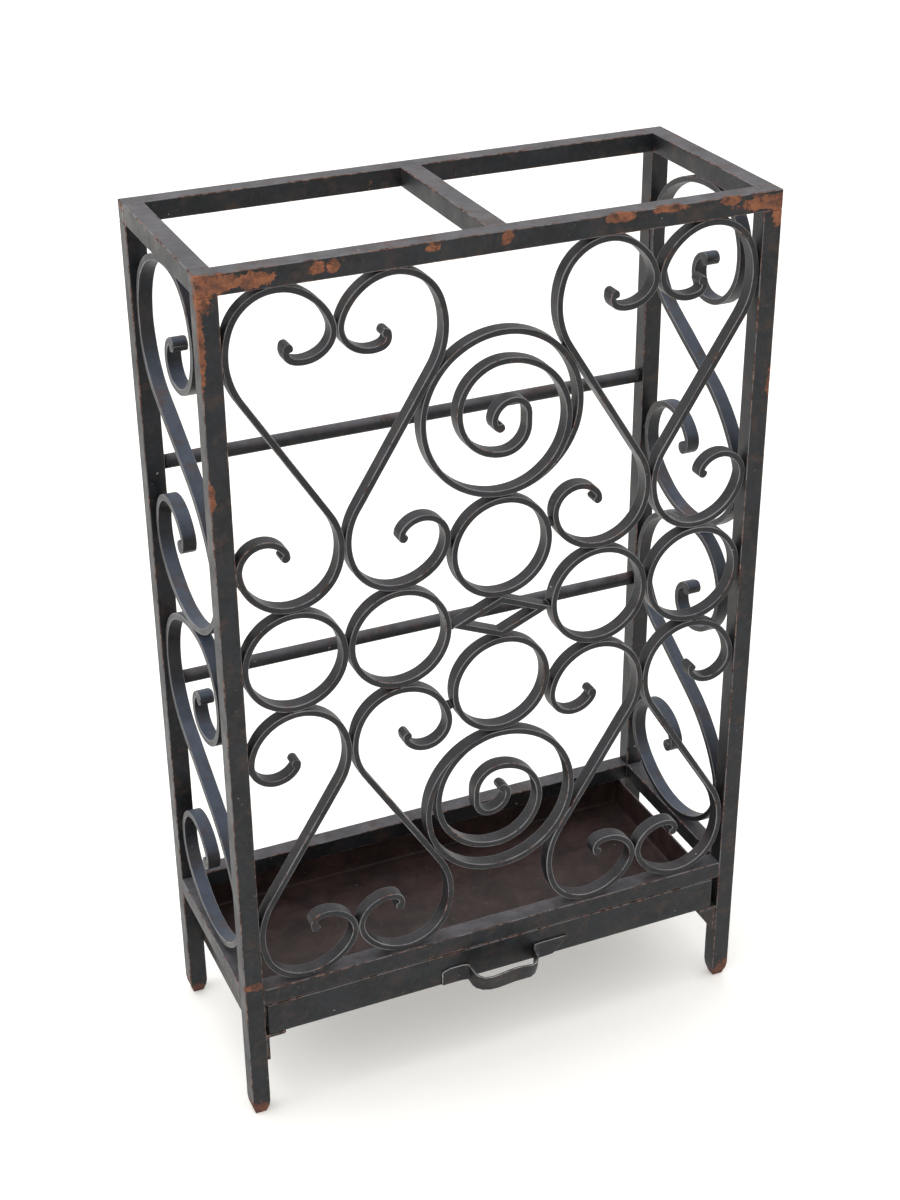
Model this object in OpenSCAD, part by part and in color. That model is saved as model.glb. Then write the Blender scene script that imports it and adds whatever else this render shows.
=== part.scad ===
/* [Overall] */
// Outside width of the frame, left to right
overall_w = 470; // [380:1:600]
// Outside depth of the frame, front to back, without the pull
overall_d = 194; // [150:1:260]
// Height from the floor to the top of the frame
overall_h = 760; // [600:1:920]

/* [Frame bars] */
// Side of the square bar that makes the posts and rails
bar = 16; // [12:0.5:22]
// Height of the underside of the bottom rails
base_z = 117; // [90:1:150]
// Width of the bar that divides the top into two cells
divider_w = 17; // [12:0.5:24]
// Height of the hammered taper on each foot
foot_taper_h = 8; // [4:0.5:14]
// How far each foot face leans in at the floor
foot_taper_in = 3.2; // [1:0.1:5]
// Diameter of the two round rods across the back
rod_dia = 12; // [8:0.5:16]

/* [Scrollwork] */
// Thickness of the flat bar, seen from the front of its panel
flat_t = 5.3; // [4:0.1:6]
// Width of the flat bar, into the panel
flat_w = 12; // [8:0.5:14]
// How far the front scrolls sit back from the frame's face
front_set = 2; // [1:0.5:4]
// How far the side scrolls sit back from the frame's face
side_set = 3.2; // [1:0.2:4]
// Radius of the hammered knob that ends each scroll
knob_r = 3.9; // [3.4:0.1:4.6]
// Height of the diamond in the middle of the front panel
diamond_h = 37; // [26:0.5:50]
// Gap left between neighbouring bars for the weld to fill
weld_gap = 0.3; // [0.2:0.05:0.6]
// Reach of each weld around the place where two bars meet
weld_r = 3.4; // [2.5:0.1:4.5]

/* [Drip tray] */
// Outside height of the tray
tray_h = 32; // [22:1:45]
// Thickness of the tray's sheet
sheet_t = 1.5; // [1:0.1:2.5]
// Total side play of the tray between the posts
tray_play = 8; // [4:0.5:12]
// How far the tray rests to the left of the middle
tray_shift = 1.5; // [0:0.25:2]
// Gap between the tray's rim and the bottom rails
rim_gap = 1; // [0.5:0.25:4]
// Gap between the tray and the runners it slides on
slide_gap = 0.3; // [0.2:0.05:0.6]

/* [Runners] */
// Width of the shelf that carries the tray
runner_shelf = 20; // [14:0.5:28]
// Height of the runner's upright leg
runner_leg = 26.5; // [16:0.5:34]
// Thickness of the angle iron
runner_t = 3; // [2:0.25:4]
// Radius of the worn front corner of the shelf
runner_corner = 5; // [2:0.5:8]

/* [Pull] */
// How far the bow stands out from the tray
pull_reach = 26; // [22:1:40]
// Width of the bow, left to right
pull_w = 63; // [48:1:90]
// Height of the pull's strip
pull_h = 17; // [12:0.5:24]
// Thickness of the pull's strip
pull_t = 1.8; // [1.2:0.1:3]
// Length of the left foot of the pull
pull_foot_l = 22; // [14:1:34]
// Length of the right foot of the pull
pull_foot_r = 30; // [14:1:40]
// Radius of the bow's two outer bends
pull_bend_r = 11; // [8:0.5:20]
// Radius of the two bends where the bow meets its feet
pull_root_r = 3; // [2:0.5:8]
// How far the middle of the pull sits to the right of the tray's middle
pull_shift = 1; // [-10:0.5:10]

/* [Hidden] */
// How far a cutting shape runs past the face it cuts.
cut = 0.5;
// The bends are drawn with a facet every few degrees, and true circles with many sides.
facet_deg = 6;
round_fn = 96;
// The tray's front stands this far behind the frame's face.
face_gap = 0.3;
// The pull sits this far above the tray's underside.
pull_lift = 0.5;
// A knob stands this much proud of the bar's outer face.
knob_proud = 0.35;
// Welds end this far inside both faces of the flat bar.
weld_set = 1;
// The runners stop this far inside the frame, front and back.
runner_short = 1;
// The tray's back stops this far inside the frame.
pan_back_gap = 4;
// The spiral's radius is found from a first guess, a share of a column's width, in a few rounds.
spiral_guess = 0.78;
fit_rounds = 14;

clear_w = overall_w - 2 * bar;
clear_d = overall_d - 2 * bar;
rail_top_z = overall_h - bar;
base_top_z = base_z + bar;
clear_h = rail_top_z - base_top_z;
mid_z = base_top_z + clear_h / 2;

// The pull stands in front of the frame, so the frame sits half its reach behind the middle.
pull_out = pull_reach + pull_t - face_gap;
face_y = (pull_out - overall_d) / 2;
left_x = -overall_w / 2;
back_y = face_y + overall_d - bar;

col_n = 5;
col_w = clear_w / col_n;
ring_r = (col_w - weld_gap) / 2;
s_h = clear_h / 2 - ring_r - weld_gap;
s_h_low = ring_r + weld_gap;

side_s_h = clear_h / 2;
pan_w = clear_w - tray_play;
pan_d = overall_d - face_gap - pan_back_gap;
pan_z = base_z - rim_gap - tray_h;
pan_x = -tray_shift;
rod_step = clear_h / 3;

// A bend list holds [radius, sweep] for an arc and [0, length] for a straight.
// The front scroll runs from the knob inside its big volute to the knob inside its small one.
front_start = [49, 213.9, 239.6];
front_bends = [
  [7.2, 101.5], [21.8, 121.5], [39, 148.2], [64, 51.4], [0, 121.2],
  [52.7, -52.7], [40.7, -153.6], [20.5, -149.8], [7, -49.3]
];
side_start = [71, 243, -4.2];
side_bends = [
  [17.6, -167.9], [47.3, -181.9], [112.3, -34.2], [64.2, -122.5], [0, 78],
  [127.3, 33.4], [47.1, 67.9], [88.6, 93.4], [37.6, 191.3], [10, 100]
];
// The spiral runs inward from the outer end of its bar; lengths are shares of its outer radius.
spiral_unit = 66.5;
spiral_start = [61.8, -22.4, 70.2];
spiral_bends = [
  [66.3, 109.8], [65, 90], [67, 90], [55, 90], [53.5, 90], [38.7, 90],
  [37, 90], [21, 90], [0, 9], [13, 90], [16, 90], [6, 75]
];

function turn(v) = v < 0 ? -1 : 1;

function step_pt(p, r, a) =
  r == 0
    ? [p[0] + a * cos(p[2]), p[1] + a * sin(p[2]), p[2]]
    : [
        p[0] + turn(a) * r * (sin(p[2] + a) - sin(p[2])),
        p[1] - turn(a) * r * (cos(p[2] + a) - cos(p[2])),
        p[2] + a
      ];

function walk(bends, p, i = 0) =
  i >= len(bends)
    ? []
    : let (r = bends[i][0], a = bends[i][1], n = r == 0 ? 1 : ceil(abs(a) / facet_deg))
      concat(
        [for (k = [1 : n]) step_pt(p, r, a * k / n)],
        walk(bends, step_pt(p, r, a), i + 1)
      );

function line(bends, p) = concat([p], walk(bends, p));

function lows(pts) = [min([for (p = pts) p[0]]), min([for (p = pts) p[1]])];
function highs(pts) = [max([for (p = pts) p[0]]), max([for (p = pts) p[1]])];

// Stretch a centreline so that its bar just fills a cell of w by h, less the weld gap.
function fit_cell(pts, w, h) =
  let (
    lo = lows(pts),
    hi = highs(pts),
    inset = (flat_t + weld_gap) / 2,
    sx = (w - 2 * inset) / (hi[0] - lo[0]),
    sy = (h - 2 * inset) / (hi[1] - lo[1])
  )
  [for (p = pts) [
    inset + (p[0] - lo[0]) * sx,
    inset + (p[1] - lo[1]) * sy,
    atan2(sin(p[2]) * sy, cos(p[2]) * sx)
  ]];

function scale_pts(pts, s) = [for (p = pts) [p[0] * s, p[1] * s, p[2]]];

function edge_pt(p, d) = [p[0] - d * sin(p[2]), p[1] + d * cos(p[2])];

function outline(pts, t) =
  let (n = len(pts))
  concat(
    [for (i = [0 : n - 1]) edge_pt(pts[i], t / 2)],
    [for (i = [0 : n - 1]) edge_pt(pts[n - 1 - i], -t / 2)]
  );

front_line = fit_cell(line(front_bends, front_start), col_w, s_h);
side_line = fit_cell(line(side_bends, side_start), clear_d, side_s_h);

// Height in the front scroll's cell of the knob-side and far-side bulges.
function at_high_x(pts, lo_y, hi_y) =
  let (best = max([for (p = pts) if (p[1] > lo_y && p[1] < hi_y) p[0]]))
  [for (p = pts) if (p[0] == best) p[1]][0];
function at_low_x(pts, lo_y, hi_y) =
  let (best = min([for (p = pts) if (p[1] > lo_y && p[1] < hi_y) p[0]]))
  [for (p = pts) if (p[0] == best) p[1]][0];
function at_high_y(pts) =
  let (best = highs(pts)[1])
  [for (p = pts) if (p[1] == best) p[0]][0];
function at_low_y(pts) =
  let (best = lows(pts)[1])
  [for (p = pts) if (p[1] == best) p[0]][0];

bulge_hi_in = at_high_x(front_line, s_h / 2, s_h);
bulge_lo_in = at_high_x(front_line, 0, s_h / 2);
bulge_hi_out = at_low_x(front_line, s_h / 2, s_h);
bulge_lo_out = at_low_x(front_line, 0, s_h / 2);
crown_x = at_high_y(front_line);
heel_x = at_low_y(front_line);

side_hi_back = at_high_x(side_line, side_s_h / 2, side_s_h);
side_lo_back = at_high_x(side_line, 0, side_s_h / 2);
side_lo_front = at_low_x(side_line, 0, side_s_h / 2);
side_crown = at_high_y(side_line);
side_heel = at_low_y(side_line);

// Small rings sit above and below the diamond; each spiral rests on its ring.
small_ring_z = diamond_h / 2 + ring_r + weld_gap;
ring_crown_z = small_ring_z + ring_r;

// The spiral grows until it meets the heart beside it. Heights are from the panel's middle.
heart_side = [for (p = front_line) [0.5 * col_w + p[0], p[1] + s_h_low]];
function reach_at(z) =
  min([for (p = heart_side) norm([p[0], p[1] - z])]) - flat_t / 2 - weld_gap;
function spiral_fit(r, n) =
  n == 0
    ? r
    : spiral_fit(0.5 * r + 0.5 * reach_at(ring_crown_z + weld_gap + r), n - 1);
spiral_r = spiral_fit(spiral_guess * col_w, fit_rounds);
spiral_z = ring_crown_z + weld_gap + spiral_r;
spiral_k = (spiral_r - flat_t / 2) / spiral_unit;
spiral_full = scale_pts(line(spiral_bends, spiral_start), spiral_k);

// A small spiral winds closer, so the outer end of its bar is cut back until it clears the next turn.
half_turn = 180 / facet_deg;
function lap_at(pts, i) =
  min([for (j = [i + half_turn : len(pts) - 1]) norm([pts[j][0] - pts[i][0], pts[j][1] - pts[i][1]])]);
function first_clear(pts, i = 0) =
  lap_at(pts, i) >= flat_t + weld_gap ? i : first_clear(pts, i + 1);
spiral_line = [for (i = [first_clear(spiral_full) : len(spiral_full) - 1]) spiral_full[i]];

// Where the heart's bar comes nearest to a circle of radius r about height z, as a weld place.
function nearest(z) =
  let (far = [for (p = heart_side) norm([p[0], p[1] - z])], low = min(far))
  [for (i = [0 : len(far) - 1]) if (far[i] == low) heart_side[i]][0];
function meet(z, r) =
  let (p = nearest(z), far = norm([p[0], p[1] - z]), k = (far - flat_t / 2 + r) / 2 / far)
  [p[0] * k, z + (p[1] - z) * k];
spiral_meet = meet(spiral_z, spiral_r);
ring_meet = meet(small_ring_z, ring_r);

module iron() {
  color("#33363a") children();
}

module worn_iron() {
  color("#46413f") children();
}

module rusty_iron() {
  color("#4a3430") children();
}

// Frame --------------------------------------------------------------

module foot_profile() {
  polygon([
    [foot_taper_in, 0], [bar - foot_taper_in, 0],
    [bar, foot_taper_h], [bar, rail_top_z], [0, rail_top_z], [0, foot_taper_h]
  ]);
}

module post(x, y) {
  iron()
  translate([x, y, 0])
  intersection() {
    translate([0, bar, 0]) rotate([90, 0, 0]) linear_extrude(bar) foot_profile();
    rotate([90, 0, 90]) linear_extrude(bar) foot_profile();
  }
}

module rail_x(y, z, length) {
  iron() translate([-length / 2, y, z]) cube([length, bar, bar]);
}

module rail_y(x, z, w) {
  iron() translate([x, face_y + bar, z]) cube([w, clear_d, bar]);
}

module rod(z) {
  iron()
  translate([left_x + bar, face_y + overall_d - bar / 2, z])
  rotate([0, 90, 0])
  cylinder(d = rod_dia, h = clear_w, $fn = round_fn);
}

// The angle iron's section: the shelf on top, the leg hanging against the posts.
module runner_section() {
  union() {
    translate([0, -runner_t]) square([runner_shelf, runner_t]);
    translate([0, -runner_leg]) square([runner_t, runner_leg]);
  }
}

module runner_end_wear() {
  translate([runner_shelf - runner_corner, runner_corner, 0])
  difference() {
    translate([0, -runner_corner - cut, 0]) square([runner_corner + cut, runner_corner + cut]);
    circle(r = runner_corner, $fn = round_fn);
  }
}

module runner() {
  length = overall_d - 2 * runner_short;
  worn_iron()
  translate([left_x + bar, face_y + runner_short, pan_z - slide_gap])
  difference() {
    translate([0, length, 0]) rotate([90, 0, 0]) linear_extrude(length) runner_section();
    translate([0, 0, -runner_t - cut]) linear_extrude(runner_t + 2 * cut) runner_end_wear();
  }
}

// Scrollwork ---------------------------------------------------------

// Stand a flat shape up in the front panel: its x and y become x and z from the panel's centre.
module on_front(inset = 0) {
  translate([0, face_y + front_set + flat_w - inset, mid_z])
  rotate([90, 0, 0])
  children();
}

module on_left(inset = 0) {
  translate([left_x + side_set + inset, face_y + bar, base_top_z])
  rotate([90, 0, 90])
  children();
}

module bar_deep() {
  linear_extrude(flat_w) children();
}

module weld_deep() {
  linear_extrude(flat_w - 2 * weld_set) children();
}

// A knob sits a little inside the bend and stands proud of the bar on both sides.
function knob_at(p, inward) = edge_pt(p, inward * (knob_r - flat_t / 2 - knob_proud));

module knob(p, inward) {
  translate(knob_at(p, inward)) cylinder(r = knob_r, h = flat_w, $fn = round_fn);
}

module scroll(pts, first_side, last_side) {
  union() {
    bar_deep() polygon(outline(pts, flat_t));
    knob(pts[0], first_side);
    knob(pts[len(pts) - 1], last_side);
  }
}

// Place a front scroll in column c, counted from the left. Each heart's right half is turned over.
module in_column(c, over) {
  flip = over ? 1 : 0;
  translate([(c - col_n / 2 + flip) * col_w, s_h_low])
  mirror([flip, 0, 0])
  children();
}

module front_scroll(c, over, low) {
  iron() on_front() mirror([0, low ? 1 : 0, 0]) in_column(c, over) scroll(front_line, 1, -1);
}

module front_s(c, over) {
  in_column(c, over) polygon(outline(front_line, flat_t));
}

module ring_shape(x, z) {
  translate([x, z])
  difference() {
    circle(r = ring_r, $fn = round_fn);
    circle(r = ring_r - flat_t, $fn = round_fn);
  }
}

function col_x(c) = (c + 0.5 - col_n / 2) * col_w;

module ring(x, z) {
  iron() on_front() bar_deep() ring_shape(x, z);
}

module spiral_shape() {
  translate([0, spiral_z]) polygon(outline(spiral_line, flat_t));
}

module spiral(spin) {
  iron()
  on_front()
  rotate(spin)
  union() {
    bar_deep() spiral_shape();
    translate([0, spiral_z]) knob(spiral_line[len(spiral_line) - 1], 1);
  }
}

module diamond_loop(k) {
  polygon([
    [-k * (col_w - weld_gap) / 2, 0], [0, -k * diamond_h / 2],
    [k * (col_w - weld_gap) / 2, 0], [0, k * diamond_h / 2]
  ]);
}

diamond_side = norm([(col_w - weld_gap) / 2, diamond_h / 2]);
diamond_in = 1 - flat_t * diamond_side / ((col_w - weld_gap) / 2 * diamond_h / 2);

module diamond_shape() {
  difference() {
    diamond_loop(1);
    diamond_loop(diamond_in);
  }
}

module diamond() {
  iron() on_front() bar_deep() diamond_shape();
}

module side_s(high) {
  translate([0, high ? side_s_h : 0]) polygon(outline(side_line, flat_t));
}

module side_scroll(high) {
  iron() on_left() translate([0, high ? side_s_h : 0]) scroll(side_line, -1, 1);
}

// Welds --------------------------------------------------------------

// A weld fills what the bars named as its children leave free around one meeting place.
module weld(x, z) {
  difference() {
    translate([x, z]) circle(r = weld_r, $fn = round_fn);
    children();
  }
}

module clear_side(x, dir) {
  translate([dir > 0 ? x : x - 2 * weld_r, -clear_h]) square([2 * weld_r, 2 * clear_h]);
}

module clear_level(z) {
  translate([-overall_w / 2, z]) square([overall_w, 2 * weld_r]);
}

// Welds of one heart half in the upper left quarter of the panel.
module heart_welds(c) {
  x0 = (c - col_n / 2) * col_w;
  x1 = x0 + col_w;
  for (z = [bulge_hi_in, bulge_lo_in])
    weld(x1, z + s_h_low) {
      front_s(c, false);
      front_s(c + 1, true);
    }
  for (k = [0, 1]) {
    over = k == 1;
    top_x = over ? x1 + col_w - crown_x : x0 + crown_x;
    weld(top_x, clear_h / 2) {
      front_s(c + k, over);
      clear_level(clear_h / 2);
    }
    weld(col_x(c + k), s_h_low - weld_gap / 2) {
      front_s(c + k, over);
      ring_shape(col_x(c + k), 0);
    }
  }
}

module post_welds_high() {
  for (z = [bulge_hi_out, bulge_lo_out])
    weld(-clear_w / 2, z + s_h_low) {
      front_s(0, false);
      clear_side(-clear_w / 2, -1);
    }
}

module centre_welds_high() {
  weld(0, ring_crown_z + weld_gap / 2) {
    ring_shape(0, small_ring_z);
    spiral_shape();
  }
  weld(0, diamond_h / 2 + weld_gap / 2) {
    ring_shape(0, small_ring_z);
    diamond_shape();
  }
  for (k = [-1, 1]) {
    weld(k * spiral_meet[0], spiral_meet[1]) {
      front_s(k < 0 ? 1 : 3, k < 0);
      spiral_shape();
    }
    weld(k * ring_meet[0], ring_meet[1]) {
      front_s(k < 0 ? 1 : 3, k < 0);
      ring_shape(0, small_ring_z);
    }
  }
}

module ring_welds() {
  for (k = [-1, 1]) {
    weld(k * col_w * 1.5, 0) {
      ring_shape(k * col_w, 0);
      ring_shape(k * col_w * 2, 0);
    }
    weld(k * col_w / 2, 0) {
      ring_shape(k * col_w, 0);
      diamond_shape();
    }
    weld(k * clear_w / 2, 0) {
      ring_shape(k * col_w * 2, 0);
      clear_side(k * clear_w / 2, k);
    }
  }
}

module welds_on_front() {
  worn_iron()
  union() {
    for (low = [0, 1]) {
      on_front(weld_set) weld_deep() mirror([0, low]) heart_welds(0);
      on_front(weld_set) weld_deep() mirror([0, low]) heart_welds(3);
      on_front(weld_set) weld_deep() mirror([0, low]) post_welds_high();
      on_front(weld_set) weld_deep() mirror([1, 0]) mirror([0, low]) post_welds_high();
      on_front(weld_set) weld_deep() rotate(180 * low) centre_welds_high();
    }
    on_front(weld_set) weld_deep() ring_welds();
  }
}

module side_post(at_back) {
  translate([at_back ? clear_d : -2 * weld_r, -bar]) square([2 * weld_r, clear_h + 2 * bar]);
}

module side_level(z) {
  translate([-bar, z]) square([overall_d, 2 * weld_r]);
}

module welds_on_left() {
  on_left(weld_set) weld_deep() {
    for (high = [0, 1]) {
      lift = high * side_s_h;
      for (z = [side_hi_back, side_lo_back])
        weld(clear_d, z + lift) {
          side_s(high == 1);
          side_post(true);
        }
      weld(0, side_lo_front + lift) {
        side_s(high == 1);
        side_post(false);
      }
    }
    weld(side_crown, clear_h) {
      side_s(true);
      side_level(clear_h);
    }
    weld(side_heel, 0) {
      side_s(false);
      side_level(-2 * weld_r);
    }
    weld((side_crown + side_heel) / 2, side_s_h) {
      side_s(true);
      side_s(false);
    }
  }
}

module welds_on_sides() {
  worn_iron()
  union() {
    welds_on_left();
    mirror([1, 0, 0]) welds_on_left();
  }
}

// Tray ---------------------------------------------------------------

module tray_body() {
  rusty_iron()
  translate([pan_x - pan_w / 2, face_y + face_gap, pan_z])
  difference() {
    cube([pan_w, pan_d, tray_h]);
    translate([sheet_t, sheet_t, sheet_t])
      cube([pan_w - 2 * sheet_t, pan_d - 2 * sheet_t, tray_h]);
  }
}

pull_leg = pull_reach - pull_bend_r - pull_root_r;
pull_front = pull_w - 2 * pull_bend_r;
pull_start = [-pull_w / 2 - pull_root_r - pull_foot_l, 0, 0];
pull_bends = [
  [0, pull_foot_l], [pull_root_r, -90], [0, pull_leg], [pull_bend_r, 90],
  [0, pull_front], [pull_bend_r, 90], [0, pull_leg], [pull_root_r, -90], [0, pull_foot_r]
];

module pull_strip() {
  worn_iron()
  translate([pan_x + pull_shift, face_y + face_gap - pull_t / 2, pan_z + pull_lift])
  linear_extrude(pull_h)
  polygon(outline(line(pull_bends, pull_start), pull_t));
}

post(left_x, face_y);  // post_front_left
post(-left_x - bar, face_y);  // post_front_right
post(left_x, back_y);  // post_back_left
post(-left_x - bar, back_y);  // post_back_right
rail_x(face_y, rail_top_z, overall_w);  // top_rail_front
rail_x(back_y, rail_top_z, overall_w);  // top_rail_back
rail_y(left_x, rail_top_z, bar);  // top_rail_left
rail_y(-left_x - bar, rail_top_z, bar);  // top_rail_right
rail_y(-divider_w / 2, rail_top_z, divider_w);  // top_divider
rail_x(face_y, base_z, clear_w);  // base_rail_front
rail_x(back_y, base_z, clear_w);  // base_rail_back
rail_y(left_x, base_z, bar);  // base_rail_left
rail_y(-left_x - bar, base_z, bar);  // base_rail_right
rod(base_top_z + 2 * rod_step);  // back_rod_high
rod(base_top_z + rod_step);  // back_rod_low
runner();  // runner_left
mirror([1, 0, 0]) runner();  // runner_right
front_scroll(0, false, false);  // scroll_a_high
front_scroll(1, true, false);  // scroll_b_high
front_scroll(3, false, false);  // scroll_d_high
front_scroll(4, true, false);  // scroll_e_high
front_scroll(0, false, true);  // scroll_a_low
front_scroll(1, true, true);  // scroll_b_low
front_scroll(3, false, true);  // scroll_d_low
front_scroll(4, true, true);  // scroll_e_low
ring(col_x(0), 0);  // ring_a
ring(col_x(1), 0);  // ring_b
ring(col_x(3), 0);  // ring_d
ring(col_x(4), 0);  // ring_e
ring(0, small_ring_z);  // ring_c_high
ring(0, -small_ring_z);  // ring_c_low
spiral(0);  // spiral_high
spiral(180);  // spiral_low
diamond();
side_scroll(true);  // side_scroll_left_high
side_scroll(false);  // side_scroll_left_low
mirror([1, 0, 0]) side_scroll(true);  // side_scroll_right_high
mirror([1, 0, 0]) side_scroll(false);  // side_scroll_right_low
welds_on_front();  // welds_front
welds_on_sides();  // welds_side
tray_body();  // tray_pan
pull_strip();  // tray_pull
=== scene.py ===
# %% [markdown]
# # An old iron umbrella stand, dressed for the camera
# The stand is a cage of square bar with scrollwork of flat bar in its front and sides, and a drip tray
# that slides out below. The measured model gives every size. This file builds the bars again with the soft
# edges, rolled tips, lumpy welds and tired black paint that the real iron has.
# Nothing is moved: each new piece is made in the place of the plain solid that it stands for.

# %% Load the frame
import bisect
import math

import bmesh
import bpy
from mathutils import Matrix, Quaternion, Vector, noise


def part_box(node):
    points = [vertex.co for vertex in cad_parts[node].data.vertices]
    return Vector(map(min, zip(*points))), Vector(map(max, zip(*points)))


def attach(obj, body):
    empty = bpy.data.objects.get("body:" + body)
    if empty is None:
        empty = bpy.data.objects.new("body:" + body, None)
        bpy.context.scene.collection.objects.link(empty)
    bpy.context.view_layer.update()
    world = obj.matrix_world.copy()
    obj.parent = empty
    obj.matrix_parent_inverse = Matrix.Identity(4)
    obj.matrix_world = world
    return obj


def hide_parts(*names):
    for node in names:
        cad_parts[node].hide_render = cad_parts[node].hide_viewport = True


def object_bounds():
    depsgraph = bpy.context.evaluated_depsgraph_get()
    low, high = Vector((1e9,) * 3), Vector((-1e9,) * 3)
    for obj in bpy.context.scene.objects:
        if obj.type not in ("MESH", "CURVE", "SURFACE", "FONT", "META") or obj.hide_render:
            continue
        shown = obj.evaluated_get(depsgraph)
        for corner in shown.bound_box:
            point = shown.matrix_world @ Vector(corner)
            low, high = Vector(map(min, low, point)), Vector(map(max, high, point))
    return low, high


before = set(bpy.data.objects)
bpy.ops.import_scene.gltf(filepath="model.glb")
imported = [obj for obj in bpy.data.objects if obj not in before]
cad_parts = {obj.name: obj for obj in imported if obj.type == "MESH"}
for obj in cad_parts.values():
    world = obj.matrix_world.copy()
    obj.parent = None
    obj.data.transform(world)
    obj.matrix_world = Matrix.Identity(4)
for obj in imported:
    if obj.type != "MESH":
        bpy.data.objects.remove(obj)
cad_low, cad_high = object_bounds()
MM = 0.001
print("frame", [round(v, 4) for v in cad_low], [round(v, 4) for v in cad_high])

# %% [markdown]
# ## A slice through a bar
# Rolled bar never has knife edges. A slice of it is a polygon whose corners are small arcs, with one more
# point a little way along each flat, which keeps the flats flat when the mesh is shaded smooth.
# A Bevel modifier could round the edges as well, but a slice made point by point also knows which of its
# points lie on the arris. That number goes into the mesh, so the paint can later wear through just there.

# %% Slices
ARC = 3
EDGE_R = 0.8 * MM
FLAT_HOLD = 0.6 * MM
# How strongly the two ends of a rounded edge are marked as arris; its middle is marked 1.
ARC_END = 0.6
# On a thin slice the rounding and the hold stay under these shares of its width.
THIN_R, THIN_HOLD = 0.3, 0.15
# Points along each side of flat bar, between its corners.
FLAT_MIDS = (1, 2, 1, 2)


def along(a, b, k):
    """The point a share k of the way from a to b."""
    return (a[0] + (b[0] - a[0]) * k, a[1] + (b[1] - a[1]) * k)


def unit(a, b):
    """The heading from a to b."""
    d = math.hypot(b[0] - a[0], b[1] - a[1])
    return ((b[0] - a[0]) / d, (b[1] - a[1]) / d)


def slice_of(corners, mids, r=EDGE_R, hold=FLAT_HOLD):
    """Points (across, deep, arris) round a square-cornered outline; mids[i] more lie after corner i."""
    n = len(corners)
    turns = []
    for i, p in enumerate(corners):
        d_in = unit(corners[i - 1], p)
        d_out = unit(p, corners[(i + 1) % n])
        mid = (p[0] - d_in[0] * r + d_out[0] * r, p[1] - d_in[1] * r + d_out[1] * r)
        convex = d_in[0] * d_out[1] - d_in[1] * d_out[0] > 0
        arc = []
        for k in range(ARC + 1):
            a = math.pi / 2 * k / ARC
            x = mid[0] + r * (d_in[0] * math.sin(a) - d_out[0] * math.cos(a))
            y = mid[1] + r * (d_in[1] * math.sin(a) - d_out[1] * math.cos(a))
            arc.append((x, y, (ARC_END if k in (0, ARC) else 1.0) if convex else 0.0))
        first = (arc[0][0] - d_in[0] * hold, arc[0][1] - d_in[1] * hold, 0.0)
        last = (arc[-1][0] + d_out[0] * hold, arc[-1][1] + d_out[1] * hold, 0.0)
        turns.append([first] + arc + [last])
    ring = []
    for i in range(n):
        ring += turns[i]
        a, b = turns[i][-1], turns[(i + 1) % n][0]
        for k in range(mids[i]):
            ring.append((*along(a, b, (k + 1) / (mids[i] + 1)), 0.0))
    return ring


def bar_slice(left, right, near, far, mids, r=EDGE_R):
    """A slice of square or flat bar, from -right to left across and from near to far deep."""
    width = min(left + right, far - near)
    corners = [(left, far), (-right, far), (-right, near), (left, near)]
    return slice_of(corners, mids, min(r, THIN_R * width), min(FLAT_HOLD, THIN_HOLD * width))


# %% [markdown]
# ## Skinning the slices
# A bar is a row of slices joined by four-sided faces, with a cap at each end. The same few lines make a
# straight post, a scroll, a closed ring and the tray, so every piece gets the same care.
# The hammer leaves its mark as well: each point is moved by a tenth of a millimetre or so, in slow waves.

# %% Skin
WAVE = 0.10 * MM
WAVE_LENGTH = 22 * MM
TINY = 1e-7
# The rounding of a bar's edges varies by this share, over somewhat shorter waves.
UNEVEN, UNEVEN_PACE = 0.35, 1.7


def hammered(p, core, depth):
    """Push p out from or in towards the bar's core in slow uneven waves."""
    d = p - core
    if d.length < TINY:
        return p
    return p + d.normalized() * noise.noise(p / WAVE_LENGTH) * depth


def uneven_edge(core):
    """The radius of the rounded edges at this place along a bar."""
    return EDGE_R * (1 + UNEVEN * noise.noise(core / WAVE_LENGTH * UNEVEN_PACE))


def link(name, data):
    """A new object in the scene."""
    piece = bpy.data.objects.new(name, data)
    bpy.context.scene.collection.objects.link(piece)
    return piece


def skin(name, rings, closed=False, marks=("arris",)):
    """Join rings of (position, mark, ...) into one closed mesh; the marks become attributes of its points."""
    size = len(rings[0])
    points = [tuple(q[0]) for ring in rings for q in ring]
    faces = []
    last = len(rings) if closed else len(rings) - 1
    for i in range(last):
        a, b = i * size, (i + 1) % len(rings) * size
        for k in range(size):
            m = (k + 1) % size
            faces.append((a + k, a + m, b + m, b + k))
    if not closed:
        faces.append(tuple(range(size))[::-1])
        faces.append(tuple((len(rings) - 1) * size + k for k in range(size)))
    mesh = bpy.data.meshes.new(name)
    mesh.from_pydata(points, [], faces)
    mesh.update()
    for i, mark in enumerate(marks):
        layer = mesh.attributes.new(mark, "FLOAT", "POINT")
        layer.data.foreach_set("value", [q[i + 1] for ring in rings for q in ring])
    if signed_volume(mesh) < 0:
        mesh.flip_normals()
    mesh.shade_smooth()
    return link(name, mesh)


def signed_volume(mesh):
    """Below zero if the faces look inwards."""
    mesh.calc_loop_triangles()
    v = mesh.vertices
    total = 0.0
    for t in mesh.loop_triangles:
        a, b, c = (v[i].co for i in t.vertices)
        total += a.dot(b.cross(c))
    return total / 6


def stand_in(piece, node, body="frame"):
    """The piece takes the place of a plain node, and moves with the body that the node belongs to."""
    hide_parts(node)
    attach(piece, body)
    made.append(piece)
    return piece


made = []

# %% [markdown]
# ## Square bar: posts, rails and the divider
# Each of these is a straight length of 16 mm square bar. The model gives its two corners, so the bar
# runs along its longest side. Both ends get the same small rounding as the long edges.
# The posts end in a foot that has been hammered to a blunt point, which the slices follow by shrinking.

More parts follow.
